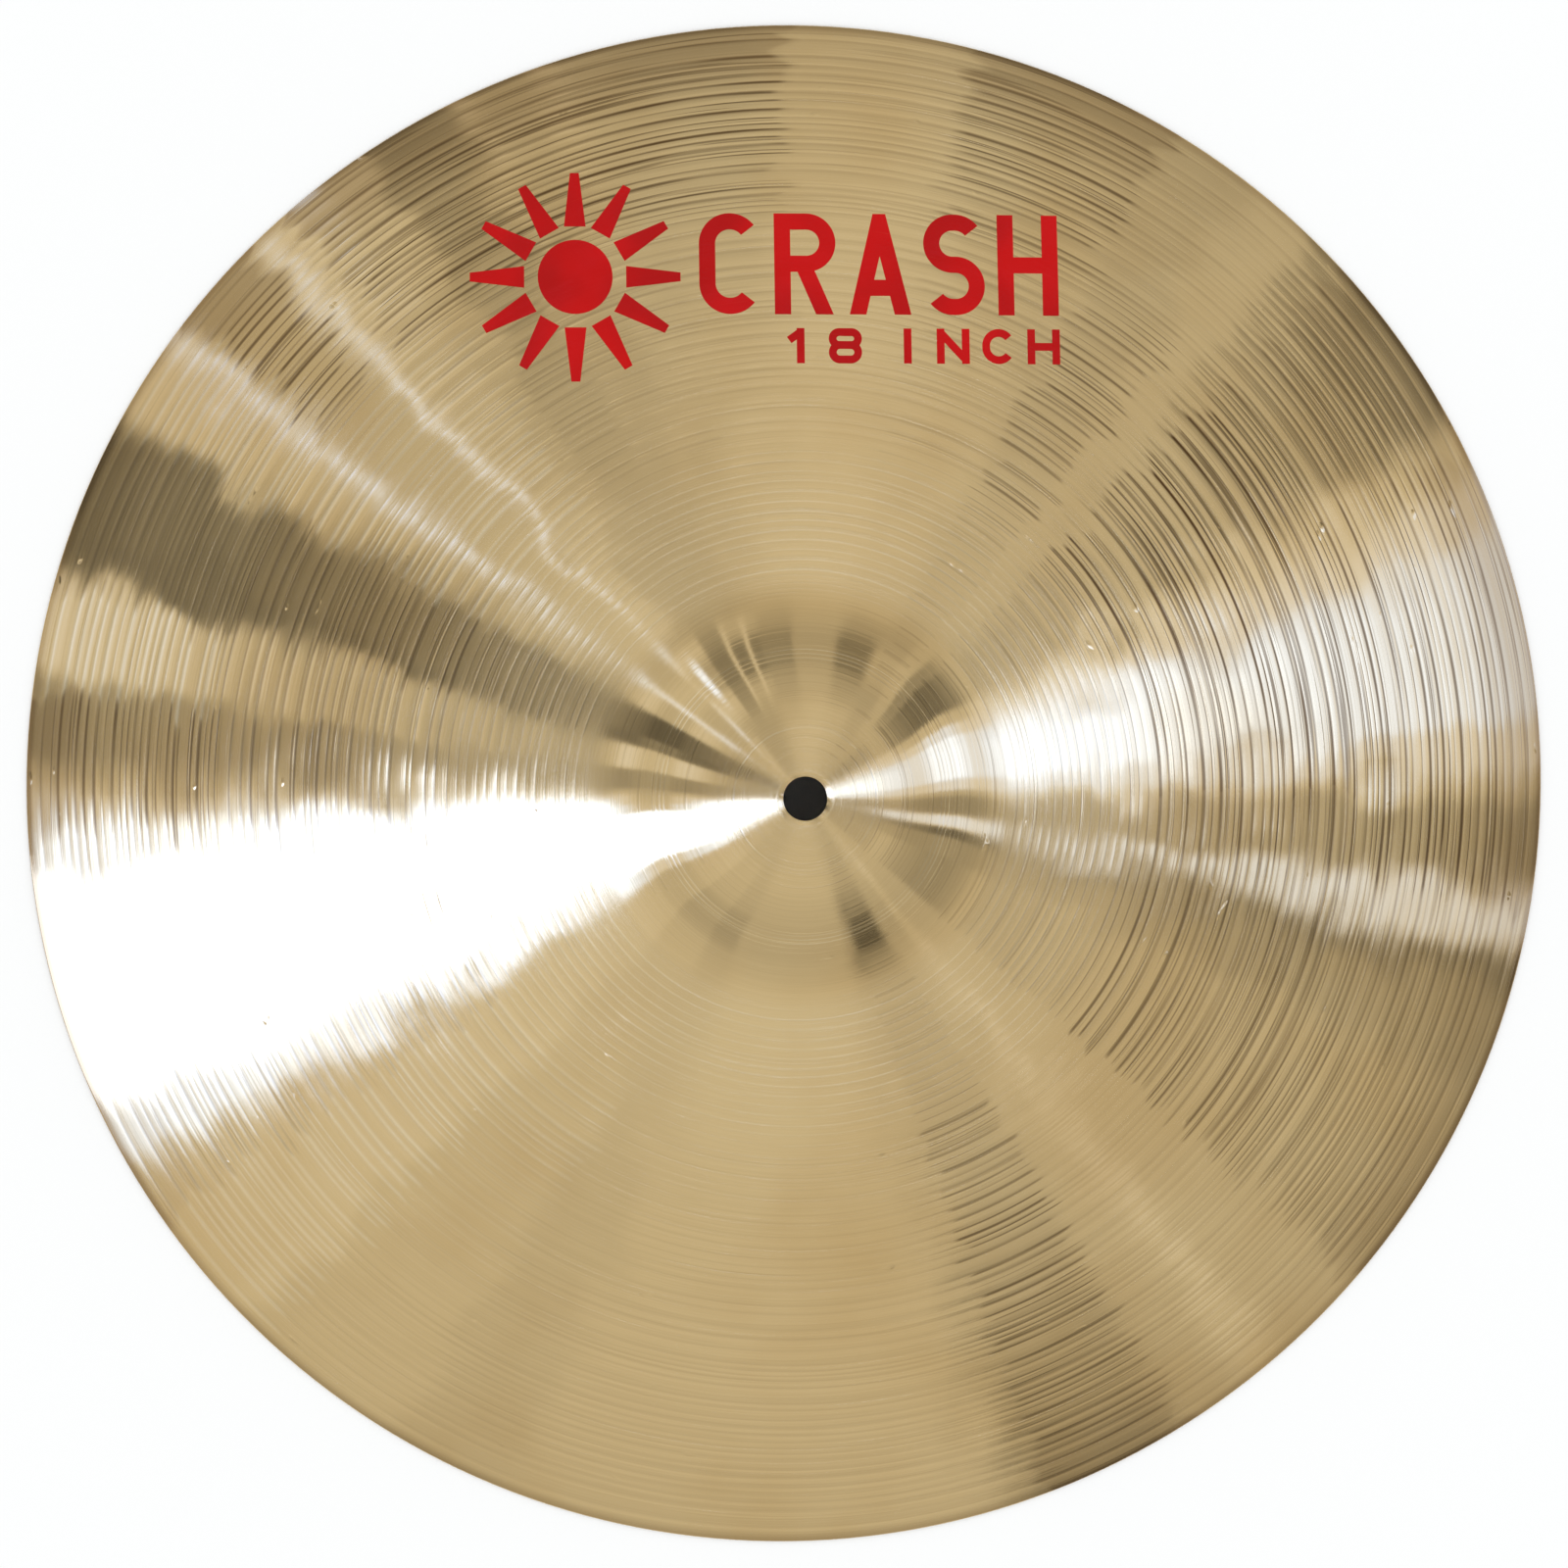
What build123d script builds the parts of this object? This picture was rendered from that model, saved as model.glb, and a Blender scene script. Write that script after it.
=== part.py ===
from build123d import *
import os
from math import sqrt

# An 18 inch crash cymbal: one cast, hammered and lathed bronze disc with a red screen print.
# The disc stands on its rim at z = 0, bell up, with its axis on Z. Sizes are in millimetres.

# Disc
RIM_RADIUS = 457.2 / 2  # an 18 inch cymbal
TOTAL_HEIGHT = 52.0  # rim to the top of the bell
RIM_THICKNESS = 0.9
BELL_THICKNESS = 1.4
RIM_ROUND_TOP = 0.4
RIM_ROUND_UNDER = 0.25

# Bow: part of a sphere from the rim to the foot of the bell
BOW_SPHERE = 750.0
BELL_RADIUS = 51.5  # where the shoulder would meet the bow without its flare
BELL_FLARE = 34.0  # radius of the flare

# Bell: a flat-topped cup with a tighter shoulder, which flares out into the bow
CUP_TOP_RADIUS = 21.0
CUP_TOP_SPHERE = 170.0

# Stand hole
HOLE_RADIUS = 12.7 / 2
HOLE_BREAK = 0.2  # small bevel at both mouths

# Printed ink film
INK_THICKNESS = 0.08

EMBLEM_CENTRE = (-65.5, 152.5)
EMBLEM_CORE_RADIUS = 11.0
EMBLEM_RAYS = 12
RAY_START = 15.0
RAY_END = 31.0
RAY_ROOT_WIDTH = 6.4
RAY_TIP_WIDTH = 2.6

WORD = "CRASH"
WORD_START = (-29.0, 141.5)  # lower left corner of the first letter
WORD_LETTER = (18.2, 30.0)  # width and height
WORD_GAP = 4.0
WORD_STROKE = 4.8

SIZE_LINE = "18 INCH"
SIZE_START = (-4.6, 127.0)
SIZE_LETTER = (9.8, 10.4)
SIZE_GAP = 3.8
SIZE_STROKE = 2.3


def sphere_drop(sphere_radius, radius):
    """How far a sphere has fallen from its pole at this distance from the axis."""
    return sphere_radius - sqrt(sphere_radius**2 - radius**2)


def rim_lift():
    """How far rounding the rim's lower corner raises the lowest point of a sloping rim."""
    slope_sine = RIM_RADIUS / BOW_SPHERE
    return RIM_ROUND_UNDER * ((1 + slope_sine) / sqrt(1 - slope_sine**2) - 1)


def bow_height(radius):
    """Height of the bow's top surface."""
    rim_top = RIM_THICKNESS - rim_lift()
    return rim_top + sphere_drop(BOW_SPHERE, RIM_RADIUS) - sphere_drop(BOW_SPHERE, radius)


def cup_height(radius):
    """Height of the top of the cup, which peaks at the bevel round the hole."""
    peak_drop = sphere_drop(CUP_TOP_SPHERE, HOLE_RADIUS + HOLE_BREAK)
    return TOTAL_HEIGHT + peak_drop - sphere_drop(CUP_TOP_SPHERE, radius)


def cup_slope(radius):
    """Downward tangent of the cup's top surface, in the profile plane."""
    fall = radius / CUP_TOP_SPHERE
    return (sqrt(1 - fall**2), -fall)


def thickness(radius):
    """Wall thickness, tapering evenly from the hole to the rim."""
    share = (radius - HOLE_RADIUS) / (RIM_RADIUS - HOLE_RADIUS)
    return BELL_THICKNESS + (RIM_THICKNESS - BELL_THICKNESS) * share


def under(height, radius):
    """The underside point below a top-surface height."""
    return (radius, height(radius) - thickness(radius))


def disc():
    """The bronze disc, turned from one section through bell, bow and rim."""
    bow_middle = (BELL_RADIUS + RIM_RADIUS) / 2
    cup_edge = (CUP_TOP_RADIUS, cup_height(CUP_TOP_RADIUS))
    foot = (BELL_RADIUS, bow_height(BELL_RADIUS))
    foot_under = under(bow_height, BELL_RADIUS - BELL_THICKNESS / 2)
    cup_under = under(cup_height, CUP_TOP_RADIUS)
    with BuildPart() as cymbal_disc:
        with BuildSketch(Plane.XZ) as section:
            with BuildLine():
                rim_top = (RIM_RADIUS, bow_height(RIM_RADIUS))
                rim_under = under(bow_height, RIM_RADIUS)
                hole_top = (HOLE_RADIUS, cup_height(HOLE_RADIUS))
                hole_under = under(cup_height, HOLE_RADIUS)
                cup_middle = (HOLE_RADIUS + CUP_TOP_RADIUS) / 2
                ThreePointArc(hole_top, (cup_middle, cup_height(cup_middle)), cup_edge)
                TangentArc(cup_edge, foot, tangent=cup_slope(CUP_TOP_RADIUS))
                ThreePointArc(foot, (bow_middle, bow_height(bow_middle)), rim_top)
                Line(rim_top, rim_under)
                ThreePointArc(rim_under, under(bow_height, bow_middle), foot_under)
                TangentArc(cup_under, foot_under, tangent=cup_slope(CUP_TOP_RADIUS))
                ThreePointArc(cup_under, under(cup_height, cup_middle), hole_under)
                Line(hole_under, hole_top)
            make_face()
            foot_window = (BELL_RADIUS - 2, BELL_RADIUS + 2)
            feet = section.vertices().filter_by_position(Axis.X, *foot_window).sort_by(Axis.Y)
            fillet(feet[-1:], BELL_FLARE)
            feet = section.vertices().filter_by_position(Axis.X, *foot_window).sort_by(Axis.Y)
            fillet(feet[:1], BELL_FLARE + thickness(BELL_RADIUS))
            chamfer(section.vertices().group_by(Axis.X)[0], HOLE_BREAK)
            rim_corners = section.vertices().group_by(Axis.X)[-1].sort_by(Axis.Y)
            fillet(rim_corners[-1:], RIM_ROUND_TOP)
            fillet(section.vertices().sort_by(Axis.Y)[:1], RIM_ROUND_UNDER)
        revolve(axis=Axis.Z)
    return cymbal_disc


def ring_lines(width, low, high):
    """Centre line of one closed loop with round sides."""
    ring = (high - low) / 2
    level = (high + low) / 2
    Line((ring, high), (width - ring, high))
    CenterArc((width - ring, level), ring, 90, -180)
    Line((width - ring, low), (ring, low))
    CenterArc((ring, level), ring, -90, -180)


def letter_lines(letter, width, height, over):
    """Centre lines of one letter. Straight ends run over its box, which later cuts them off."""
    loop = height / 4  # radius of a half-height loop
    side = width / 2  # radius of the round ends of a C
    mouth = 38  # degrees left open on a C or an S
    if letter in "HN":
        for stem in (0, width):
            Line((stem, -over), (stem, height + over))
    if letter == "1":
        Line((width * 0.55, -over), (width * 0.55, height + over))
        Line((width * 0.55, height), (width * 0.1, height * 0.7))
    if letter == "A":
        splay = side * over / (2 * height + over)
        Line((-splay, -over), (side, height))
        Line((side, height), (width + splay, -over))
        Line((width * 0.15, height * 0.22), (width * 0.85, height * 0.22))
    if letter == "C":
        CenterArc((side, height - side), side, mouth, 180 - mouth)
        Line((0, height - side), (0, side))
        CenterArc((side, side), side, 180, 180 - mouth)
    if letter == "H":
        Line((0, height / 2), (width, height / 2))
    if letter == "I":
        Line((side, -over), (side, height + over))
    if letter == "N":
        slant = over * width / height
        Line((-slant, height + over), (width + slant, -over))
    if letter == "R":
        Line((0, -over), (0, height + over))
        Line((0, height), (width - loop, height))
        CenterArc((width - loop, height - loop), loop, 90, -180)
        Line((width - loop, height / 2), (0, height / 2))
        Line((width * 0.45, height / 2), (width, -over))
    if letter == "S":
        CenterArc((width - loop, 3 * loop), loop, mouth, 90 - mouth)
        Line((width - loop, height), (loop, height))
        CenterArc((loop, 3 * loop), loop, 90, 180)
        Line((loop, height / 2), (width - loop, height / 2))
        CenterArc((width - loop, loop), loop, 90, -180)
        Line((width - loop, 0), (loop, 0))
        CenterArc((loop, loop), loop, -90, mouth - 90)


def letter_shape(letter, letter_size, stroke):
    """One letter as a flat shape, cut off square at its own box."""
    width, height = letter_size
    line_width, line_height = width - stroke, height - stroke
    with BuildSketch(mode=Mode.PRIVATE) as shape:
        if letter == "8":
            for low, high in ((0, 0.53), (0.53, 1)):
                with BuildLine():
                    ring_lines(line_width, low * line_height, high * line_height)
                trace(line_width=stroke)
        else:
            with BuildLine():
                letter_lines(letter, line_width, line_height, stroke)
            trace(line_width=stroke)
        with Locations((line_width / 2, line_height / 2)):
            Rectangle(width, height, mode=Mode.INTERSECT)
    return shape.sketch


def text_shape(text, start, letter_size, gap, stroke):
    """A line of letters in the ground plane. A space is half as wide as a letter."""
    left = start[0] + stroke / 2
    with BuildSketch() as line:
        for letter in text:
            if letter == " ":
                left += letter_size[0] / 2
            else:
                with Locations((left, start[1] + stroke / 2)):
                    add(letter_shape(letter, letter_size, stroke))
                left += letter_size[0] + gap
    return line.sketch


def emblem_shape():
    """A plain sunburst: a round core inside a ring of tapered rays."""
    root, tip = RAY_ROOT_WIDTH / 2, RAY_TIP_WIDTH / 2
    with BuildSketch() as emblem:
        with Locations(EMBLEM_CENTRE):
            Circle(EMBLEM_CORE_RADIUS)
            with PolarLocations(0, EMBLEM_RAYS):
                Polygon(
                    (RAY_START, -root),
                    (RAY_END, -tip),
                    (RAY_END, tip),
                    (RAY_START, root),
                    align=None,
                )
    return emblem.sketch


def print_film(shape):
    """Ink of an even thickness lying on the bow, with the outline of a flat shape."""
    centre = bow_height(0) - BOW_SPHERE
    inner, outer = BOW_SPHERE, BOW_SPHERE + INK_THICKNESS
    with BuildPart() as film:
        with BuildSketch():
            add(shape)
        extrude(amount=TOTAL_HEIGHT)
        with BuildSketch(Plane.XZ):
            with Locations((0, centre)):
                Circle(outer)
                Circle(inner, mode=Mode.SUBTRACT)
            with Locations((RIM_RADIUS / 2, TOTAL_HEIGHT / 2)):
                Rectangle(RIM_RADIUS, TOTAL_HEIGHT, mode=Mode.INTERSECT)
        revolve(axis=Axis.Z, mode=Mode.INTERSECT)
    return film


def write(name, piece):
    """One labelled STEP file per node."""
    piece.part.label = name
    export_step(piece.part, f"parts/{name}.step")


os.makedirs("parts", exist_ok=True)
word_shape = text_shape(WORD, WORD_START, WORD_LETTER, WORD_GAP, WORD_STROKE)
size_shape = text_shape(SIZE_LINE, SIZE_START, SIZE_LETTER, SIZE_GAP, SIZE_STROKE)
write("cymbal_disc", disc())
write("emblem_print", print_film(emblem_shape()))
write("word_print", print_film(word_shape))
write("size_print", print_film(size_shape))
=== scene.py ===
"""An 18 inch crash cymbal, hammered and lathed, with a red print on its bow, on a pale studio floor.

The disc is built as rings and spokes: every ring is a lathe line or the flat beside one. The printed
pieces are the CAD films' outlines, filled and laid down on that surface. Lengths are in metres and
angles in degrees, unless a comment says otherwise.
"""

import math
import random

import bmesh
import bpy
import numpy as np
from mathutils import Matrix, Vector
from mathutils.geometry import delaunay_2d_cdt
from mathutils.kdtree import KDTree


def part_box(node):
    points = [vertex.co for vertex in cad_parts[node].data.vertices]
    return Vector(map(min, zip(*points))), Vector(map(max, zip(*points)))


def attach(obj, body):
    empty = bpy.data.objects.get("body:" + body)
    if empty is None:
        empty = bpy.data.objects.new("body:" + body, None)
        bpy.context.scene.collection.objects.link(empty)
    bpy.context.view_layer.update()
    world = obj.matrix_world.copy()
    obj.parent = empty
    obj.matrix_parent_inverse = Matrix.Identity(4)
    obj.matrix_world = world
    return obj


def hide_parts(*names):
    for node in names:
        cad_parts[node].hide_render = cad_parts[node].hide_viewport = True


MM = 0.001

# Section of the disc, as the CAD has it
BOW_SPHERE = 750 * MM
BELL_RADIUS = 51.5 * MM
BELL_FLARE = 34 * MM
CUP_TOP_RADIUS = 21 * MM
CUP_TOP_SPHERE = 170 * MM
HOLE_RADIUS = 6.35 * MM
HOLE_BREAK = 0.2 * MM
BELL_THICKNESS = 1.4 * MM
RIM_THICKNESS = 0.9 * MM
RIM_LIFT = 0.09 * MM  # how far the rim's rounding raises its corner
INK_THICKNESS = 0.08 * MM

# Mesh
SPOKES = 248
UNDER_RINGS = 44
INK_SPACING = 0.5 * MM  # between the points of an ink film

# Lathing
LATHED_FROM = 66 * MM
LATHED_TO = 225.5 * MM
FINE_BAND_END = 104 * MM  # the band of narrow troughs round the bell
WAVE_HEIGHT = 0.8 * MM

# Hammering
HAMMER_DEPTH = 0.055 * MM
HAMMER_REACH = 8 * MM
RING_GAP = 11 * MM  # between rings of blows
BLOW_GAP = 14 * MM  # between blows in a ring

# Camera
CAMERA_TILT = 5.0
CAMERA_AZIMUTH = 144.5
CAMERA_DISTANCE = 1.4
CAMERA_LENS = 106.7
CAMERA_AIM = (-2.5 * MM, 1.65 * MM, 0)

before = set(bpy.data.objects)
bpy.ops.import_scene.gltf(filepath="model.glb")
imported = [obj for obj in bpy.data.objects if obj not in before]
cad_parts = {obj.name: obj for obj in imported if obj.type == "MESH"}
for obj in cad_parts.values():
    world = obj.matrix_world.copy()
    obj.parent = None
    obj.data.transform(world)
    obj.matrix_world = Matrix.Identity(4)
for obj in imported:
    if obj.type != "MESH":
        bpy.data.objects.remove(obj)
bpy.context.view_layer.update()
RIM_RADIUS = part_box("cymbal_disc")[1].x
TOTAL_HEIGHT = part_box("cymbal_disc")[1].z


# ---------------------------------------------------------------- profile


def sphere_drop(sphere, radius):
    """How far a sphere has fallen from its pole at this distance from the axis."""
    return sphere - np.sqrt(sphere**2 - radius**2)


def bow_top(radius):
    """Top of the bow."""
    rim_top = RIM_THICKNESS - RIM_LIFT
    return rim_top + sphere_drop(BOW_SPHERE, RIM_RADIUS) - sphere_drop(BOW_SPHERE, radius)


def cup_top(radius):
    """Top of the flat part of the bell."""
    peak = sphere_drop(CUP_TOP_SPHERE, HOLE_RADIUS + HOLE_BREAK)
    return TOTAL_HEIGHT + peak - sphere_drop(CUP_TOP_SPHERE, radius)


def shoulder_arc():
    """Centre and radius of the arc from the cup's edge, tangent to it, to the bow at BELL_RADIUS."""
    start = np.array((CUP_TOP_RADIUS, cup_top(CUP_TOP_RADIUS)))
    end = np.array((BELL_RADIUS, bow_top(BELL_RADIUS)))
    sine = CUP_TOP_RADIUS / CUP_TOP_SPHERE
    inward = np.array((-sine, -math.sqrt(1 - sine**2)))
    span = end - start
    radius = span @ span / (2 * span @ inward)
    return start + radius * inward, radius


def flare_centre(shoulder, arc):
    """Centre of the flare's arc, which touches the shoulder's arc and the bow's sphere from outside."""
    bow_centre = np.array((0, bow_top(0) - BOW_SPHERE))
    to_shoulder, to_bow = arc + BELL_FLARE, BOW_SPHERE + BELL_FLARE
    span = bow_centre - shoulder
    gap = math.hypot(*span)
    along = (to_shoulder**2 - to_bow**2 + gap**2) / (2 * gap)
    aside = math.sqrt(to_shoulder**2 - along**2)
    unit = span / gap
    return shoulder + along * unit + aside * np.array((-unit[1], unit[0]))


def top_height(radius):
    """Top surface at these radii: cup, shoulder, flare and bow."""
    shoulder, arc = shoulder_arc()
    flare = flare_centre(shoulder, arc)
    flare_start = shoulder[0] + (flare[0] - shoulder[0]) * arc / (arc + BELL_FLARE)
    flare_end = flare[0] * BOW_SPHERE / (BOW_SPHERE + BELL_FLARE)
    on_shoulder = shoulder[1] + np.sqrt(np.maximum(arc**2 - (radius - shoulder[0]) ** 2, 0))
    on_flare = flare[1] - np.sqrt(np.maximum(BELL_FLARE**2 - (radius - flare[0]) ** 2, 0))
    return np.select(
        (radius < CUP_TOP_RADIUS, radius < flare_start, radius < flare_end),
        (cup_top(np.minimum(radius, CUP_TOP_RADIUS)), on_shoulder, on_flare),
        bow_top(radius),
    )


def thickness(radius):
    """Wall thickness, tapering evenly from the hole to the rim."""
    share = (radius - HOLE_RADIUS) / (RIM_RADIUS - HOLE_RADIUS)
    return BELL_THICKNESS + (RIM_THICKNESS - BELL_THICKNESS) * share


# ---------------------------------------------------------------- lathing


def troughs(rng):
    """(start, width, depth) of every trough cut in the top, from the hole to the rim.

    One faint line is on the cup and three are on the shoulder. On the bow the troughs are fine near the
    bell, and then a mixture of narrow and wide ones.
    """
    cuts = [(20.4 * MM, 0.6 * MM, 0.01 * MM)]
    cuts += [((40.4 + 1.3 * k) * MM, 0.5 * MM, 0.05 * MM) for k in range(3)]
    start = LATHED_FROM
    while start < LATHED_TO:
        if start < FINE_BAND_END:
            width = rng.uniform(0.5, 0.8)
            flat = rng.uniform(1.8, 2.5)
            steepness = rng.uniform(0.12, 0.25)
        elif rng.random() < 0.3:
            width = rng.uniform(0.7, 1.1)
            flat = rng.uniform(0.4, 1.6)
            steepness = rng.uniform(0.2, 0.35)
        else:
            width = rng.uniform(1.2, 2.2)
            flat = 0.5 + 3.2 * rng.random() ** 2
            steepness = rng.uniform(0.12, 0.26)
        cuts.append((start, width * MM, steepness * width * MM / math.pi))
        start += (width + flat) * MM
    return cuts


def top_rings(rng):
    """Arrays over the top rings: radius, depth below the profile, band, and how strongly painted shade or
    painted highlight can mark it.

    A trough takes four steps. A band is a trough and the flat inside it.
    """
    trough_shape = (0, 0.5, 1, 0.5, 0)
    longest_step = 2.0 * MM
    first = HOLE_RADIUS + HOLE_BREAK
    rings = [(first, 0, 0, 0)]
    last = first
    cuts = troughs(rng)
    for band, (start, width, depth) in enumerate(cuts):
        steps = max(math.ceil((start - last) / longest_step), 1)
        for step in range(1, steps):
            rings.append((last + (start - last) * step / steps, 0, band, 0))
        # How strongly this trough carries painted shade or painted highlight
        mark_strength = rng.uniform(0.65, 1.0)
        for place, share in enumerate(trough_shape):
            rings.append((start + width * place / 4, depth * share, band, share * mark_strength))
        last = start + width
    rings.append((RIM_RADIUS - 0.5 * MM, 0, len(cuts), 0))
    return [np.array(column) for column in zip(*rings)]


# ---------------------------------------------------------------- hammering


def hammer_blows(rng):
    """(x, y, depth) of blows laid in rings over the bow, each ring a little out of step."""
    blows = []
    radius = BELL_RADIUS + RING_GAP
    while radius < RIM_RADIUS - RING_GAP:
        count = int(2 * math.pi * radius / BLOW_GAP)
        start = rng.uniform(0, 360)
        for k in range(count):
            angle = math.radians(start + 360 * (k + rng.uniform(-0.4, 0.4)) / count)
            r = radius + rng.uniform(-0.5, 0.5) * RING_GAP
            blows.append((r * math.cos(angle), r * math.sin(angle), rng.uniform(-1, 1)))
        radius += RING_GAP
    return blows


def hammer_height(x, y, blows):
    """Height left by the blows at these points. It dies out at the rim and on the bell."""
    height = np.zeros_like(x)
    for bx, by, depth in blows:
        near = (np.abs(x - bx) < 2 * HAMMER_REACH) & (np.abs(y - by) < 2 * HAMMER_REACH)
        away = ((x[near] - bx) ** 2 + (y[near] - by) ** 2) / HAMMER_REACH**2
        height[near] += depth * HAMMER_DEPTH * np.exp(-(away**2))
    radius = np.hypot(x, y)
    fade_out = np.clip((RIM_RADIUS - 4 * MM - radius) / (10 * MM), 0, 1)
    fade_in = np.clip((radius - BELL_RADIUS) / (50 * MM), 0, 1)
    return height * fade_in * fade_out


def band_waves(rng, bands, angles):
    """A gentle waviness of each band of its own, one row per band."""
    waves = np.zeros((bands, len(angles)))
    for band in range(bands):
        for turns in (14, 23, 37):
            size = rng.uniform(0.2, 1.0) / turns
            waves[band] += size * np.cos(turns * angles + rng.uniform(0, 2 * math.pi))
    return waves


# ---------------------------------------------------------------- disc mesh


def ring_grid(radii, angles):
    """x and y of a grid of rings and spokes."""
    return np.outer(radii, np.cos(angles)), np.outer(radii, np.sin(angles))


def ring_points(radii, heights, angles):
    """Points of a grid of rings and spokes. Heights are one per ring or one per point."""
    x, y = ring_grid(radii, angles)
    return np.stack((x, y, np.broadcast_to(heights, x.shape)), axis=2)


def top_surface(rng, angles, blows):
    """The top rings' radii, the height of every point on them, and how strongly painted shade or painted
    highlight can mark each.
    """
    radii, depths, bands, cuts = top_rings(rng)
    on_bow = np.clip((radii - LATHED_FROM) / (10 * MM), 0, 1)
    off_rim = np.clip((RIM_RADIUS - 3 * MM - radii) / (10 * MM), 0, 1)
    wave_sizes = WAVE_HEIGHT * (radii / RIM_RADIUS) ** 2 * on_bow * off_rim
    waves = band_waves(rng, int(bands.max()) + 1, angles)[bands.astype(int)] * wave_sizes[:, None]
    hammered = hammer_height(*ring_grid(radii, angles), blows)
    return radii, (top_height(radii) - depths)[:, None] + hammered + waves, cuts


def under_surface(angles, blows):
    """The underside's rings as points, from the hole to the rim."""
    radii = np.linspace(HOLE_RADIUS + HOLE_BREAK, RIM_RADIUS - 0.5 * MM, UNDER_RINGS)
    hammered = hammer_height(*ring_grid(radii, angles), blows)
    return ring_points(radii, (top_height(radii) - thickness(radii))[:, None] + hammered, angles)


def rim_edge(angles):
    """Rings round the rounded rim, from top to underside."""
    radii = RIM_RADIUS - np.array((0.16, 0.03, 0, 0, 0.06, 0.2)) * MM
    upper = RIM_THICKNESS - RIM_LIFT - np.array((0.08, 0.24, 0.4)) * MM
    lower = np.array((0.25, 0.07, 0)) * MM
    return ring_points(radii, np.concatenate((upper, lower))[:, None], angles)


def bore_wall(angles):
    """Rings up the wall of the stand hole, from underside to top, with a rounded upper mouth."""
    top = top_height(np.array([HOLE_RADIUS + HOLE_BREAK]))[0]
    under = top - BELL_THICKNESS
    radii = HOLE_RADIUS + np.array((0, 0, 0.25)) * HOLE_BREAK
    heights = np.array((under + HOLE_BREAK, top - 1.5 * HOLE_BREAK, top - 0.5 * HOLE_BREAK))
    return ring_points(radii, heights[:, None], angles)


def disc_piece(loop, cuts):
    """One closed mesh from a loop of rings, creased at the underside mouth of the hole.

    Its cut attribute is near 1 at the bottom of a trough and 0 on the flats.
    """
    rings = len(loop)
    index = np.arange(rings * SPOKES).reshape(rings, SPOKES)
    across = np.roll(index, -1, axis=0)
    faces = np.stack((index, across, np.roll(across, -1, axis=1), np.roll(index, -1, axis=1)), axis=2)
    mesh = bpy.data.meshes.new("cymbal_bronze")
    mesh.from_pydata(loop.reshape(-1, 3), [], faces.reshape(-1, 4).tolist())
    mesh.update()
    mesh.shade_smooth()
    mouths = (rings - 3, rings - 4)
    edge_rings = np.array([edge.vertices[:] for edge in mesh.edges]) // SPOKES
    sharp = (edge_rings[:, 0] == edge_rings[:, 1]) & np.isin(edge_rings[:, 0], mouths)
    mesh.attributes.new("sharp_edge", "BOOLEAN", "EDGE").data.foreach_set("value", sharp)
    cuts = np.repeat(np.pad(cuts, (0, rings - len(cuts))), SPOKES).astype(np.float32)
    mesh.attributes.new("cut", "FLOAT", "POINT").data.foreach_set("value", cuts)
    piece = bpy.data.objects.new("cymbal_bronze", mesh)
    bpy.context.scene.collection.objects.link(piece)
    return piece


# ---------------------------------------------------------------- ink


def height_at(x, y, radii, heights):
    """Height of the top surface at these points, read between its rings and spokes."""
    radius = np.hypot(x, y)
    ring = np.clip(np.searchsorted(radii, radius) - 1, 0, len(radii) - 2)
    out = (radius - radii[ring]) / (radii[ring + 1] - radii[ring])
    turn = (np.arctan2(y, x) / (2 * math.pi) % 1) * SPOKES
    spoke = turn.astype(int) % SPOKES
    on = turn - np.floor(turn)
    after = (spoke + 1) % SPOKES
    inner = heights[ring, spoke] * (1 - on) + heights[ring, after] * on
    outer = heights[ring + 1, spoke] * (1 - on) + heights[ring + 1, after] * on
    return inner * (1 - out) + outer * out


def ink_outline(node):
    """The straight lines of a CAD film's outline from above, as (start, end) points."""
    bm = bmesh.new()
    bm.from_mesh(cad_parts[node].data)
    bmesh.ops.remove_doubles(bm, verts=bm.verts, dist=0.005 * MM)
    face_up = {face for face in bm.faces if face.normal.z > 0.5}
    edges = [edge for edge in bm.edges if len(face_up.intersection(edge.link_faces)) == 1]
    outline = np.array([[vertex.co.xy for vertex in edge.verts] for edge in edges])
    bm.free()
    return outline


def inside(points, outline):
    """Whether each point is inside an outline.

    A line drawn to the right from a point inside crosses the outline an odd number of times.
    """
    x, y = points[:, 0], points[:, 1]
    odd = np.zeros(len(points), bool)
    for (x1, y1), (x2, y2) in outline:
        level = np.flatnonzero((y1 > y) != (y2 > y))
        odd[level] ^= x[level] < x1 + (y[level] - y1) * (x2 - x1) / (y2 - y1)
    return odd


def outline_points(outline):
    """Points along an outline at the ink's spacing, and the pairs of them that it joins."""
    points, pairs = [], []
    for start, end in outline:
        steps = math.ceil(np.linalg.norm(end - start) / INK_SPACING)
        first = len(points)
        points += [start + (end - start) * step / steps for step in range(steps + 1)]
        pairs += [(first + step, first + step + 1) for step in range(steps)]
    return points, pairs


def fill_points(outline, edge_points):
    """A grid of points inside an outline, clear of the points along it."""
    tree = KDTree(len(edge_points))
    for number, (x, y) in enumerate(edge_points):
        tree.insert((x, y, 0), number)
    tree.balance()
    low, high = np.min(edge_points, axis=0), np.max(edge_points, axis=0)
    columns = np.arange(low[0], high[0], INK_SPACING)
    rows = np.arange(low[1], high[1], INK_SPACING)
    grid = np.stack(np.meshgrid(columns, rows), axis=2).reshape(-1, 2)
    grid = grid[inside(grid, outline)]
    return [(x, y) for x, y in grid if tree.find((x, y, 0))[2] > INK_SPACING / 2]


def ink_triangles(outline):
    """Flat points, and triangles between them that fill an outline evenly."""
    edge_points, pairs = outline_points(outline)
    flat = [Vector(point) / MM for point in (*edge_points, *fill_points(outline, edge_points))]
    points, _, triangles, *_ = delaunay_2d_cdt(flat, pairs, [], 0, 1e-4)
    points, triangles = np.array(points) * MM, np.array(triangles)
    return points, triangles[inside(points[triangles].mean(axis=1), outline)]


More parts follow.
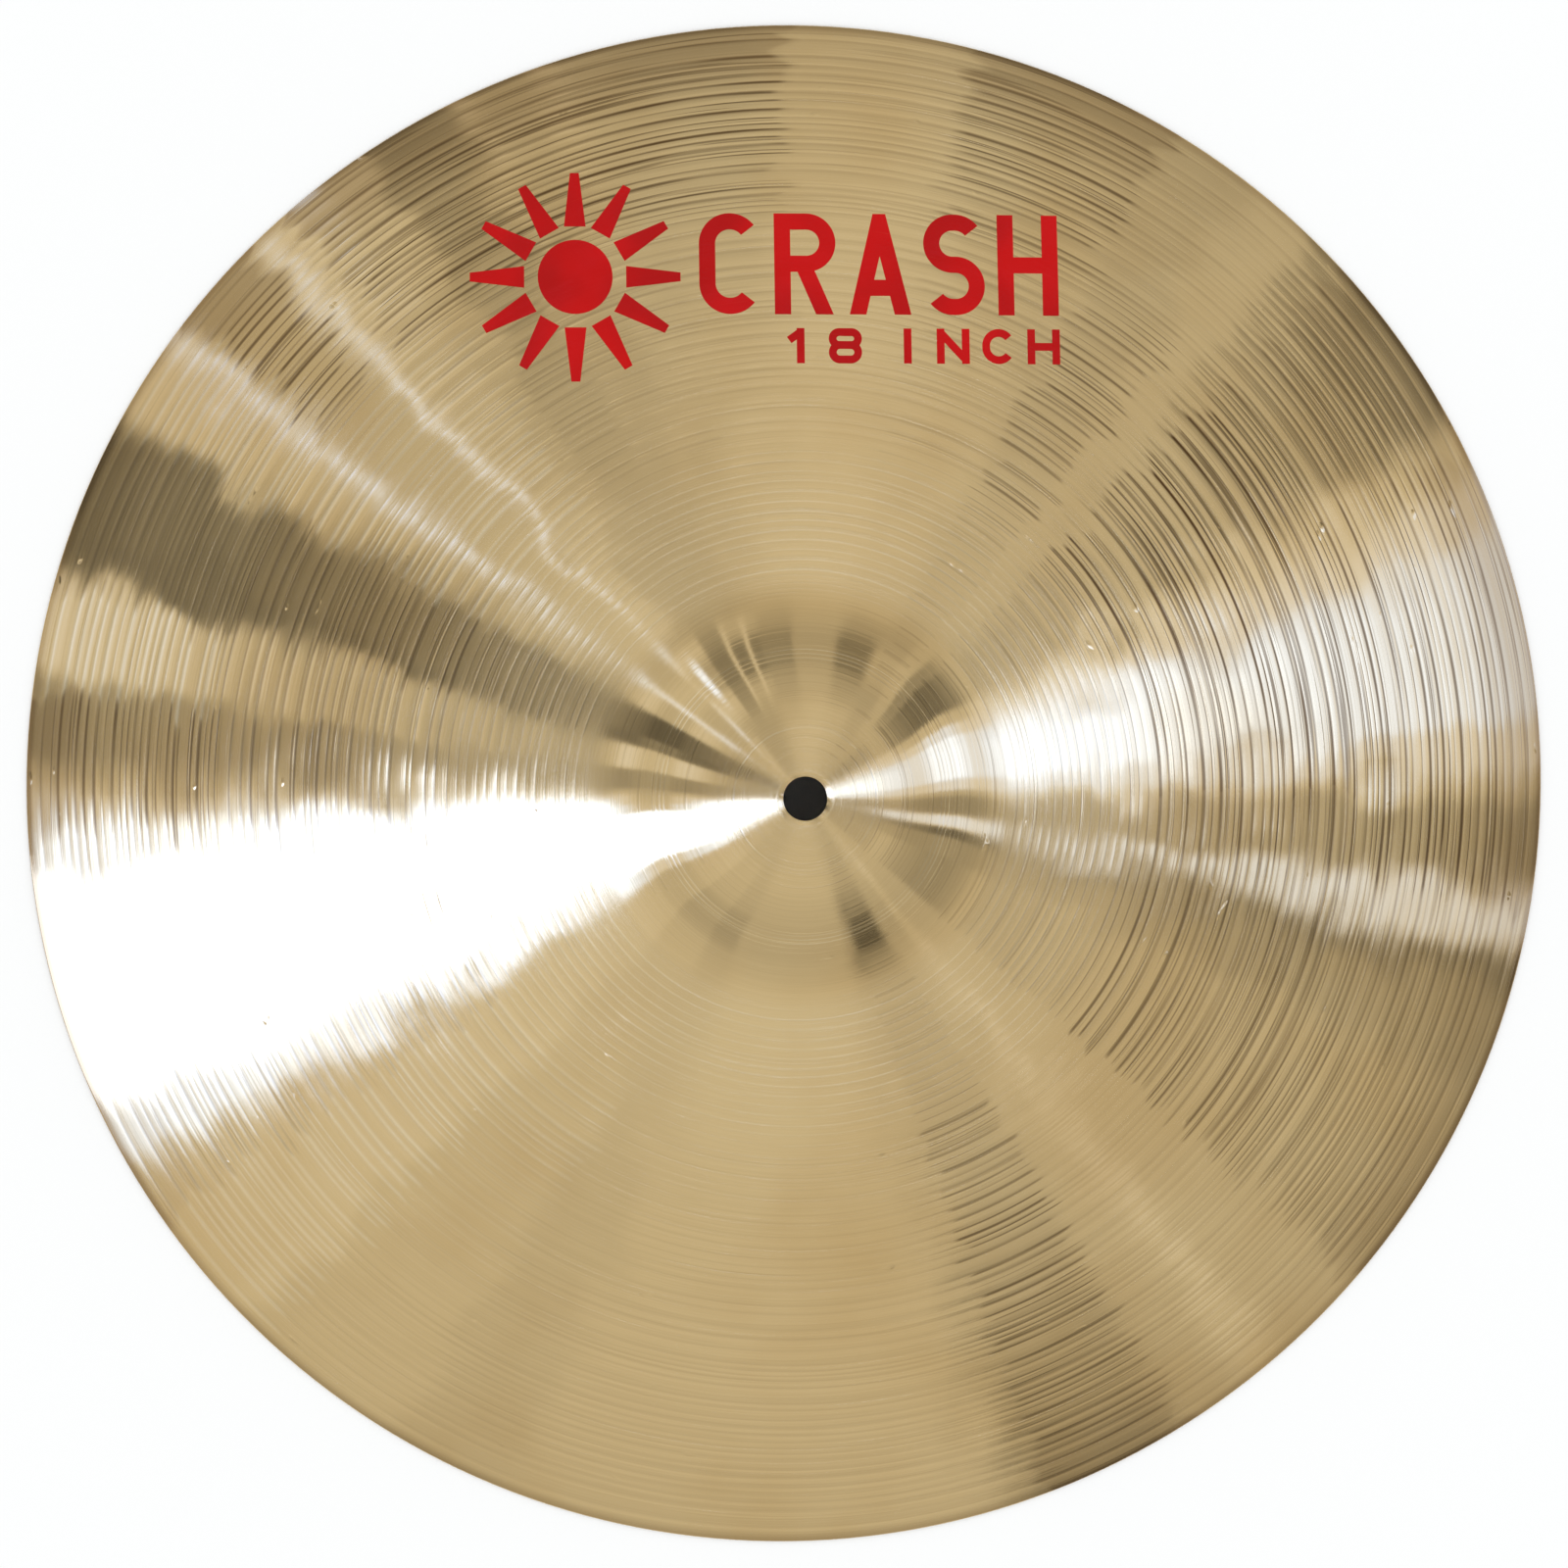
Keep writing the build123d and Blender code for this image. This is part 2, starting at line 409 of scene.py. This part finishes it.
def ink_piece(node, name, radii, heights):
    """A printed film: the CAD film's outline filled evenly and laid down on the lathed surface."""
    seat = 0.02 * MM  # how far the film's back sinks into the metal
    points, triangles = ink_triangles(ink_outline(node))
    metal = height_at(points[:, 0], points[:, 1], radii, heights)
    face = np.column_stack((points, metal + INK_THICKNESS))
    back = np.column_stack((points, metal - seat))
    count = len(points)
    sides = [(a, b) for corners in triangles.tolist() for a, b in zip(corners, corners[1:] + corners[:1])]
    paired = set(sides)
    walls = [(a, a + count, b + count, b) for a, b in sides if (b, a) not in paired]
    mesh = bpy.data.meshes.new(name)
    faces = triangles.tolist() + (triangles[:, ::-1] + count).tolist() + walls
    mesh.from_pydata(np.concatenate((face, back)), [], faces)
    mesh.shade_smooth()
    mesh.set_sharp_from_angle(angle=math.radians(50))
    piece = bpy.data.objects.new(name, mesh)
    bpy.context.scene.collection.objects.link(piece)
    return piece


# ---------------------------------------------------------------- node helpers


ROW_EDGE = 0.5  # half the width, in degrees, over which one row of an azimuth table becomes the next


def new_tree(owner):
    """An owner's emptied node tree."""
    owner.use_nodes = True
    owner.node_tree.nodes.clear()
    return owner.node_tree


def put(tree, socket, value):
    """Links a socket to another node's output, or sets it."""
    if isinstance(value, bpy.types.NodeSocket):
        tree.links.new(value, socket)
    else:
        socket.default_value = value


def maths(tree, operation, *values):
    """One Math node."""
    node = tree.nodes.new("ShaderNodeMath")
    node.operation = operation
    for socket, value in zip(node.inputs, values):
        put(tree, socket, value)
    return node.outputs[0]


def product(tree, first, *others):
    """Several values multiplied."""
    for value in others:
        first = maths(tree, "MULTIPLY", first, value)
    return first


def ease(tree, value, low, high, from_low=0.0, to_high=1.0):
    """A smooth step of value from low to high."""
    node = tree.nodes.new("ShaderNodeMapRange")
    node.interpolation_type = "SMOOTHSTEP"
    put(tree, node.inputs["Value"], value)
    put(tree, node.inputs["From Min"], low)
    put(tree, node.inputs["From Max"], high)
    put(tree, node.inputs["To Min"], from_low)
    put(tree, node.inputs["To Max"], to_high)
    return node.outputs["Result"]


def blend(tree, kind, share, first, second):
    """One colour Mix node."""
    node = tree.nodes.new("ShaderNodeMix")
    node.data_type = "RGBA"
    node.blend_type = kind
    put(tree, node.inputs[0], share)
    put(tree, node.inputs[6], first)
    put(tree, node.inputs[7], second)
    return node.outputs[2]


def noise(tree, vector, scale, detail=2.0, roughness=0.5):
    """One Noise node's factor."""
    node = tree.nodes.new("ShaderNodeTexNoise")
    put(tree, node.inputs["Vector"], vector)
    put(tree, node.inputs["Scale"], scale)
    put(tree, node.inputs["Detail"], detail)
    put(tree, node.inputs["Roughness"], roughness)
    return node.outputs["Fac"]


def coordinates(tree, vector):
    """The x, y and z of a vector."""
    node = tree.nodes.new("ShaderNodeSeparateXYZ")
    tree.links.new(vector, node.inputs[0])
    return list(node.outputs)


def lathe_space(tree, drift):
    """A vector whose x is the radius in mm and that drifts slowly along the lathe lines, and the position."""
    position = tree.nodes.new("ShaderNodeTexCoord").outputs["Object"]
    x, y, _ = coordinates(tree, position)
    radius = maths(tree, "SQRT", maths(tree, "ADD", product(tree, x, x), product(tree, y, y)))
    vector = tree.nodes.new("ShaderNodeCombineXYZ")
    put(tree, vector.inputs["X"], maths(tree, "DIVIDE", radius, MM))
    put(tree, vector.inputs["Y"], product(tree, x, drift))
    put(tree, vector.inputs["Z"], product(tree, y, drift))
    return vector.outputs[0], position


def bump(tree, height, strength, distance, normal=None):
    """One Bump node."""
    node = tree.nodes.new("ShaderNodeBump")
    put(tree, node.inputs["Height"], height)
    node.inputs["Strength"].default_value = strength
    node.inputs["Distance"].default_value = distance
    if normal is not None:
        tree.links.new(normal, node.inputs["Normal"])
    return node.outputs["Normal"]


def azimuth_ramp(tree, azimuth, table, columns, start, end):
    """Three columns of a table by azimuth, as a colour, between two azimuths.

    Each row of the table starts at its azimuth and runs to the next row.
    """
    node = tree.nodes.new("ShaderNodeValToRGB")
    ramp = node.color_ramp
    before = [row for row in table if row[0] <= start][-1]
    stops = [(start, before)]
    for row in table:
        if start < row[0] < end:
            stops += [(row[0] - ROW_EDGE, before), (row[0] + ROW_EDGE, row)]
            before = row
    ramp.elements.remove(ramp.elements[1])
    for number, (place, row) in enumerate(stops):
        share = (place - start) / (end - start)
        element = ramp.elements.new(share) if number else ramp.elements[0]
        element.position = share
        element.color = (*(row[column] for column in columns), 1)
    along = maths(tree, "DIVIDE", maths(tree, "SUBTRACT", azimuth, start), end - start)
    tree.links.new(along, node.inputs[0])
    return node.outputs["Color"]


def azimuth_table(tree, azimuth, table, columns, sectors):
    """Three columns of a table by azimuth, over the whole turn. A ramp has room for about 15 rows."""
    colour = azimuth_ramp(tree, azimuth, table, columns, *sectors[:2])
    for start, end in zip(sectors[1:], sectors[2:]):
        past = maths(tree, "GREATER_THAN", azimuth, start)
        colour = blend(tree, "MIX", past, colour, azimuth_ramp(tree, azimuth, table, columns, start, end))
    parts = tree.nodes.new("ShaderNodeSeparateColor")
    tree.links.new(colour, parts.inputs[0])
    return list(parts.outputs)


def azimuth_of(tree, across, up):
    """Azimuth in degrees, from 0 to 360."""
    return maths(tree, "WRAP", maths(tree, "DEGREES", maths(tree, "ARCTAN2", up, across)), 360, 0)


def lathed_shader(tree):
    """A Principled shader whose highlights spread across the lathe lines."""
    shader = tree.nodes.new("ShaderNodeBsdfPrincipled")
    tangent = tree.nodes.new("ShaderNodeTangent")
    tangent.direction_type = "RADIAL"
    tangent.axis = "Z"
    tree.links.new(tangent.outputs[0], shader.inputs["Tangent"])
    shader.inputs["Anisotropic"].default_value = 1.0
    shader.inputs["Anisotropic Rotation"].default_value = 0.25
    output = tree.nodes.new("ShaderNodeOutputMaterial")
    tree.links.new(shader.outputs[0], output.inputs["Surface"])
    return shader


# ---------------------------------------------------------------- materials


# Radii in mm over which one treatment of the bronze gives way to the next
INNER_TO_MIDDLE = (128, 144)
MIDDLE_TO_OUTER = (168, 184)
FOOT_OF_BELL = (56, 66)
BURNISHED_OUT = (140, 75)
# Radii of painted shade: in the troughs, on the outer bow, and at the rim
TROUGH_SHADE_IN = (92, 108)
OUTER_SHADE_IN = (203, 223)
SHADED_RIM = (225.0, 228.2)

# Bronze where it is bright, browner and streaked, painted highlight in the troughs, burnished bronze, painted
# shade in the troughs, and painted shade on the outer bow and rim
LIGHT = (0.82, 0.63, 0.335, 1)
BROWN = (0.75, 0.55, 0.27, 1)
STREAK = (0.72, 0.66, 0.55, 1)
PAINTED_HIGHLIGHT = (1.0, 0.9, 0.67, 1)
BURNISH = (1.0, 0.8, 0.46, 1)
PAINTED_TROUGH_SHADE = (0.115, 0.056, 0.016, 1)
PAINTED_OUTER_SHADE = (0.34, 0.22, 0.1, 1)

# Painted shade in the troughs by azimuth, standing in for dark reflections: share on the inner, middle and
# outer bow
TROUGH_SHADE_BY_AZIMUTH = (
    (0, 0.9, 0.95, 0.8),
    (27, 0.95, 1.0, 0.55),
    (43.5, 0.0, 0.05, 0.1),
    (49.5, 0.6, 0.75, 0.15),
    (60, 0.1, 0.2, 0.75),
    (76, 0.0, 0.0, 0.2),
    (91, 0.0, 0.15, 0.95),
    (103, 0.1, 0.25, 0.9),
    (131, 0.0, 0.0, 0.1),
    (135, 0.0, 0.15, 0.8),
    (142, 0.0, 0.0, 0.1),
    (151.5, 0.6, 0.5, 0.25),
    (164, 0.3, 0.3, 0.0),
    (172, 0.4, 0.6, 0.75),
    (183, 0.25, 0.25, 0.25),
    (214, 0.0, 0.0, 0.0),
    (290, 0.5, 0.8, 0.6),
    (302, 0.0, 0.1, 0.15),
    (319, 0.7, 0.7, 0.45),
    (346, 0.65, 0.55, 0.4),
    (351, 0.75, 0.8, 0.85),
)

# Painted highlight in the troughs by azimuth, standing in for bright reflections, in the same columns
TROUGH_HIGHLIGHT_BY_AZIMUTH = (
    (0, 0.0, 0.0, 0.0),
    (126, 0.5, 0.4, 0.1),
    (135, 0.6, 0.5, 0.0),
    (142, 0.6, 0.6, 0.55),
    (151.5, 0.1, 0.1, 0.1),
    (164, 0.3, 0.2, 0.8),
    (172, 0.4, 0.6, 0.2),
    (183, 0.5, 0.55, 0.35),
    (226, 0.25, 0.1, 0.0),
    (240, 0.0, 0.0, 0.0),
)


def trough_share(tree, lathe, position, table):
    """A table's share for the troughs here. The borders of its patches step from band to band."""
    step = 7.0  # degrees from the furthest step one way to the furthest the other way
    radius, _, _ = coordinates(tree, lathe)
    x, y, _ = coordinates(tree, position)
    steps = maths(tree, "MULTIPLY_ADD", noise(tree, lathe, 0.16, 1.0), step, -step / 2)
    azimuth = maths(tree, "WRAP", maths(tree, "ADD", azimuth_of(tree, x, y), steps), 360, 0)
    inner, middle, outer = azimuth_table(tree, azimuth, table, (1, 2, 3), (0, 180, 360))
    share = blend(tree, "MIX", ease(tree, radius, *INNER_TO_MIDDLE), inner, middle)
    return blend(tree, "MIX", ease(tree, radius, *MIDDLE_TO_OUTER), share, outer)


def trough_highlight_share(tree, lathe, position):
    """How much painted highlight the troughs have here. The fine band has some everywhere, more in patches at
    random.
    """
    radius, _, _ = coordinates(tree, lathe)
    fine_band = ease(tree, radius, FINE_BAND_END / MM, FINE_BAND_END / MM - 6)
    # Patches of painted highlight in the fine band
    highlight_patches = ease(tree, noise(tree, position, 22.0, 2.0), 0.35, 0.65, 0.1, 0.5)
    return maths(tree, "MAXIMUM", product(tree, fine_band, highlight_patches), trough_share(tree, lathe, position, TROUGH_HIGHLIGHT_BY_AZIMUTH))


def trough_shade_lines(tree, cut, scores):
    """Where painted shade can lie: in the troughs and the scores, broken along their length."""
    broken_lathe, _ = lathe_space(tree, 30.0)
    broken = ease(tree, noise(tree, broken_lathe, 0.7, 1.0), 0.35, 0.6, 0.45, 1.0)
    trough_lines = maths(tree, "MAXIMUM", ease(tree, cut, 0.2, 0.8), product(tree, scores, 0.7))
    return product(tree, trough_lines, broken)


def outer_shade_share(tree, radius, shade_by_azimuth):
    """How much painted shade the outer bow and the rim have, following the troughs' painted shade by azimuth.
    """
    outer_bow = product(tree, shade_by_azimuth, ease(tree, radius, *OUTER_SHADE_IN, 0.0, 0.55))
    rim = product(tree, ease(tree, radius, *SHADED_RIM), ease(tree, shade_by_azimuth, 0, 0.4, 0.4, 0.85))
    return maths(tree, "MAXIMUM", outer_bow, rim)


def bronze_colour(tree, lathe, position, fine, scores, patches):
    """Polished bronze, with painted highlight or painted shade in its troughs, and painted shade on the outer
    bow and rim.
    """
    radius, _, _ = coordinates(tree, lathe)
    attribute = tree.nodes.new("ShaderNodeAttribute")
    attribute.attribute_name = "cut"
    cut = attribute.outputs["Fac"]
    # Share of painted shade in the troughs by azimuth and radius, standing in for dark reflections
    in_band = ease(tree, radius, *TROUGH_SHADE_IN, 0.4, 1.0)
    shade_by_azimuth = product(tree, trough_share(tree, lathe, position, TROUGH_SHADE_BY_AZIMUTH), in_band)
    unshaded = maths(tree, "SUBTRACT", 1.0, shade_by_azimuth)
    off_bell = ease(tree, radius, *FOOT_OF_BELL)
    colour = blend(tree, "MIX", ease(tree, patches, 0.4, 0.7), LIGHT, BROWN)
    colour = blend(tree, "MULTIPLY", ease(tree, fine, 0.35, 0.75, 0.0, 0.14), colour, STREAK)
    for share, layer in (
        # Painted highlight in the troughs
        (product(tree, trough_highlight_share(tree, lathe, position), cut, unshaded), PAINTED_HIGHLIGHT),
        (product(tree, off_bell, ease(tree, radius, *BURNISHED_OUT, 0.0, 0.32)), BURNISH),
        # Painted shade in the troughs
        (product(tree, trough_shade_lines(tree, cut, scores), shade_by_azimuth), PAINTED_TROUGH_SHADE),
        # Painted shade on the outer bow and rim
        (outer_shade_share(tree, radius, shade_by_azimuth), PAINTED_OUTER_SHADE),
    ):
        colour = blend(tree, "MIX", share, colour, layer)
    return colour


def bronze_normal(tree, lathe, fine, scores):
    """Lathe texture finer than the mesh, and a few nicks."""
    nick_lathe, _ = lathe_space(tree, 350.0)
    nicks = ease(tree, noise(tree, nick_lathe, 0.28, 1.0), 0.76, 0.86)
    normal = bump(tree, noise(tree, lathe, 0.8, 2.0), 0.7, 0.07 * MM)
    normal = bump(tree, scores, 0.5, 0.04 * MM, normal)
    normal = bump(tree, fine, 0.45, 0.06 * MM, normal)
    return bump(tree, nicks, 0.4, 0.2 * MM, normal)


def bronze_material():
    """Cast bell bronze, lathed and polished."""
    material = bpy.data.materials.new("lathed_bronze")
    tree = new_tree(material)
    shader = lathed_shader(tree)
    lathe, position = lathe_space(tree, 8.0)
    fine = noise(tree, lathe, 2.6, 3.0, 0.6)
    scores = ease(tree, noise(tree, lathe, 1.25, 1.0), 0.58, 0.66)
    patches = noise(tree, position, 14.0, 3.0)
    colour = bronze_colour(tree, lathe, position, fine, scores, patches)
    tree.links.new(colour, shader.inputs["Base Color"])
    tree.links.new(maths(tree, "MULTIPLY_ADD", patches, 0.06, 0.08), shader.inputs["Roughness"])
    tree.links.new(bronze_normal(tree, lathe, fine, scores), shader.inputs["Normal"])
    shader.inputs["Metallic"].default_value = 1.0
    shader.inputs["Coat Weight"].default_value = 0.12
    shader.inputs["Coat Roughness"].default_value = 0.25
    return material


def ink_material():
    """Red screen ink that shows the lathing under it."""
    material = bpy.data.materials.new("red_screen_ink")
    tree = new_tree(material)
    shader = lathed_shader(tree)
    lathe, position = lathe_space(tree, 8.0)
    fine = noise(tree, lathe, 2.6, 3.0, 0.6)
    patches = noise(tree, position, 30.0, 2.0)
    deep, bright, pale = (0.42, 0.0, 0.0, 1), (0.56, 0.0, 0.0, 1), (0.7, 0.16, 0.1, 1)
    colour = blend(tree, "MIX", ease(tree, patches, 0.35, 0.65), deep, bright)
    colour = blend(tree, "MIX", ease(tree, fine, 0.66, 0.85, 0.0, 0.25), colour, pale)
    tree.links.new(colour, shader.inputs["Base Color"])
    tree.links.new(maths(tree, "MULTIPLY_ADD", fine, 0.12, 0.36), shader.inputs["Roughness"])
    shader.inputs["Specular IOR Level"].default_value = 0.2
    tree.links.new(bump(tree, fine, 0.3, 0.03 * MM), shader.inputs["Normal"])
    return material


def floor_material():
    """Matt white studio paper."""
    material = bpy.data.materials.new("studio_paper")
    tree = new_tree(material)
    shader = tree.nodes.new("ShaderNodeBsdfPrincipled")
    output = tree.nodes.new("ShaderNodeOutputMaterial")
    tree.links.new(shader.outputs[0], output.inputs["Surface"])
    shader.inputs["Base Color"].default_value = (0.99, 1.0, 1.0, 1)
    shader.inputs["Roughness"].default_value = 1.0
    shader.inputs["Specular IOR Level"].default_value = 0.0
    return material


# ---------------------------------------------------------------- studio

# Soft boxes, walls and dark gaps round the studio, by azimuth: brightness for the zones from the pole
# out, which are near, far, low and lowest
PANELS = (
    (0, 1.4, 1.1, 0.9, 1.1),
    (4, 2.2, 1.5, 1.1, 1.8),
    (15, 1.55, 1.3, 1.1, 1.7),
    (18.5, 1.15, 0.95, 0.9, 1.2),
    (22.5, 0.78, 0.88, 0.65, 0.7),
    (27, 0.42, 0.65, 0.3, 0.2),
    (39, 0.53, 0.65, 0.38, 0.36),
    (44, 0.58, 0.63, 0.6, 0.65),
    (50, 0.6, 0.58, 0.5, 0.6),
    (60, 0.65, 0.67, 0.5, 0.26),
    (74, 0.75, 0.71, 0.6, 0.5),
    (91, 0.73, 0.64, 0.52, 0.34),
    (103, 0.58, 0.58, 0.6, 0.28),
    (107, 0.57, 0.55, 0.8, 0.8),
    (108.5, 0.52, 0.53, 0.62, 0.26),
    (114, 0.52, 0.53, 0.8, 0.8),
    (115.5, 0.52, 0.52, 0.4, 0.28),
    (123, 0.52, 0.53, 0.75, 0.5),
    (127.5, 0.8, 0.56, 0.8, 1.6),
    (130, 0.72, 0.57, 0.8, 0.7),
    (133, 0.76, 1.3, 1.0, 0.75),
    (134.6, 0.66, 0.6, 0.6, 0.7),
    (143, 0.65, 1.4, 1.1, 1.1),
    (144.8, 0.5, 0.62, 0.8, 0.6),
    (151.5, 0.29, 0.29, 0.22, 0.14),
    (160, 0.45, 0.22, 0.2, 0.3),
    (164, 0.46, 0.6, 0.9, 0.7),
    (172, 0.47, 0.46, 0.38, 0.45),
    (179, 0.8, 0.53, 0.65, 0.55),
    (180.8, 1.2, 0.95, 0.9, 0.6),
    (182.6, 3.2, 2.0, 0.9, 0.65),
    (184.5, 3.2, 3.0, 1.2, 0.7),
    (188, 3.2, 3.2, 3.0, 3.0),
    (205, 1.1, 3.0, 3.0, 3.0),
    (206.5, 1.0, 1.9, 1.2, 0.9),
    (211.5, 0.65, 0.75, 0.7, 0.6),
    (226, 0.61, 0.67, 0.64, 0.5),
    (240, 0.6, 0.62, 0.58, 0.44),
    (250, 0.67, 0.68, 0.6, 0.55),
    (289, 0.58, 0.57, 0.3, 0.45),
    (292, 0.55, 0.55, 0.4, 0.12),
    (302, 0.6, 0.64, 0.56, 0.5),
    (309, 0.8, 0.9, 0.7, 0.65),
    (311, 0.64, 0.64, 0.58, 0.55),
    (320, 0.51, 0.67, 0.46, 0.38),
    (336, 0.5, 0.53, 0.42, 0.42),
    (343, 0.48, 0.35, 0.28, 0.18),
    (346.5, 0.47, 1.25, 1.1, 1.2),
    (351, 0.43, 0.54, 0.38, 0.36),
    (358, 0.95, 0.85, 0.6, 0.6),
)
SECTORS = (0, 90, 140, 230, 360)
ZONES = ((14, 21), (28, 46), (50, 68))  # degrees from the pole where each zone becomes the next
WARM, COOL = (1.0, 0.97, 0.9, 1), (0.77, 0.99, 1.75, 1)
WARM_TO_COOL = (0.65, 1.4)  # brightness over which warm light becomes cool


def tilted_axes(azimuth):
    """Unit vectors to the side, up and along a line that leans by the camera's tilt towards an azimuth."""
    tilt, azimuth = math.radians(CAMERA_TILT), math.radians(azimuth)
    level = math.sin(tilt)
    along = Vector((level * math.cos(azimuth), level * math.sin(azimuth), math.cos(tilt)))
    side = Vector((0, 1, 0)).cross(along).normalized()
    return side, along.cross(side), along


def dot(tree, vector, fixed):
    """Dot product with a fixed vector."""
    node = tree.nodes.new("ShaderNodeVectorMath")
    node.operation = "DOT_PRODUCT"
    tree.links.new(vector, node.inputs[0])
    node.inputs[1].default_value = fixed
    return node.outputs["Value"]


def studio_light(tree, direction):
    """Brightness of the studio in a direction.

    The studio's pole is the camera's mirror image in a level cymbal. Round that pole, a panel's reflection
    in the bow is an even wedge.
    """
    side, up, pole = (dot(tree, direction, axis) for axis in tilted_axes(CAMERA_AZIMUTH + 180))
    azimuth = azimuth_of(tree, side, up)
    from_pole = maths(tree, "DEGREES", maths(tree, "ARCCOSINE", pole))
    light, *outer_zones = azimuth_table(tree, azimuth, PANELS, (1, 2, 3), SECTORS)
    outer_zones.append(azimuth_table(tree, azimuth, PANELS, (4, 4, 4), SECTORS)[0])
    for (near, far), zone in zip(ZONES, outer_zones):
        light = blend(tree, "MIX", ease(tree, from_pole, near, far), light, zone)
    return light


def studio_world():
    """Soft boxes, walls and gaps for reflections. The camera and matt surfaces see plain white.

    The white is even, so the world needs no importance sampling.
    """
    world = bpy.data.worlds.new("studio")
    world.cycles.sampling_method = "NONE"
    bpy.context.scene.world = world
    tree = new_tree(world)
    light = studio_light(tree, tree.nodes.new("ShaderNodeTexCoord").outputs["Generated"])
    tint = blend(tree, "MIX", ease(tree, light, *WARM_TO_COOL), WARM, COOL)
    lit = tree.nodes.new("ShaderNodeBackground")
    tree.links.new(blend(tree, "MULTIPLY", 1.0, light, tint), lit.inputs["Color"])
    plain = tree.nodes.new("ShaderNodeBackground")
    plain.inputs["Color"].default_value = (1, 1, 1, 1)
    path = tree.nodes.new("ShaderNodeLightPath")
    mix = tree.nodes.new("ShaderNodeMixShader")
    tree.links.new(path.outputs["Is Glossy Ray"], mix.inputs[0])
    tree.links.new(plain.outputs[0], mix.inputs[1])
    tree.links.new(lit.outputs[0], mix.inputs[2])
    output = tree.nodes.new("ShaderNodeOutputWorld")
    tree.links.new(mix.outputs[0], output.inputs["Surface"])


def studio_floor():
    """A wide pale floor, just under the rim."""
    reach = 20
    mesh = bpy.data.meshes.new("floor")
    corners = [(-reach, -reach, 0), (reach, -reach, 0), (reach, reach, 0), (-reach, reach, 0)]
    mesh.from_pydata(corners, [], [(0, 1, 2, 3)])
    floor = bpy.data.objects.new("floor", mesh)
    floor.location.z = -0.02 * MM
    floor.data.materials.append(floor_material())
    bpy.context.scene.collection.objects.link(floor)


def studio_camera():
    """The camera looks almost straight down, from a little up and to the left of the axis."""
    camera = bpy.data.objects.new("camera", bpy.data.cameras.new("camera"))
    camera.data.lens = CAMERA_LENS
    camera.data.sensor_width = 36
    side, up, back = tilted_axes(CAMERA_AZIMUTH)
    camera.matrix_world = Matrix((side, up, back)).transposed().to_4x4()
    camera.location = Vector(CAMERA_AIM) + back * CAMERA_DISTANCE
    camera.data.clip_end = 100
    bpy.context.scene.collection.objects.link(camera)
    bpy.context.scene.camera = camera


# ---------------------------------------------------------------- build

rng = random.Random(18)
spoke_angles = np.arange(SPOKES) * 2 * math.pi / SPOKES
blows = hammer_blows(rng)
top_radii, top_heights, top_cuts = top_surface(rng, spoke_angles, blows)
ring_loop = np.concatenate(
    (
        ring_points(top_radii, top_heights, spoke_angles),
        rim_edge(spoke_angles),
        under_surface(spoke_angles, blows)[::-1],
        bore_wall(spoke_angles),
    )
)
bronze = disc_piece(ring_loop, top_cuts)
bronze.data.materials.append(bronze_material())
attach(bronze, "root")
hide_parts("cymbal_disc")

ink = ink_material()
for cad_node, piece_name in (
    ("emblem_print", "emblem_ink"),
    ("word_print", "word_ink"),
    ("size_print", "size_ink"),
):
    film = ink_piece(cad_node, piece_name, top_radii, top_heights)
    film.data.materials.append(ink)
    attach(film, "root")
    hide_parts(cad_node)

studio_world()
studio_floor()
studio_camera()
bpy.context.scene.view_settings.view_transform = "Standard"
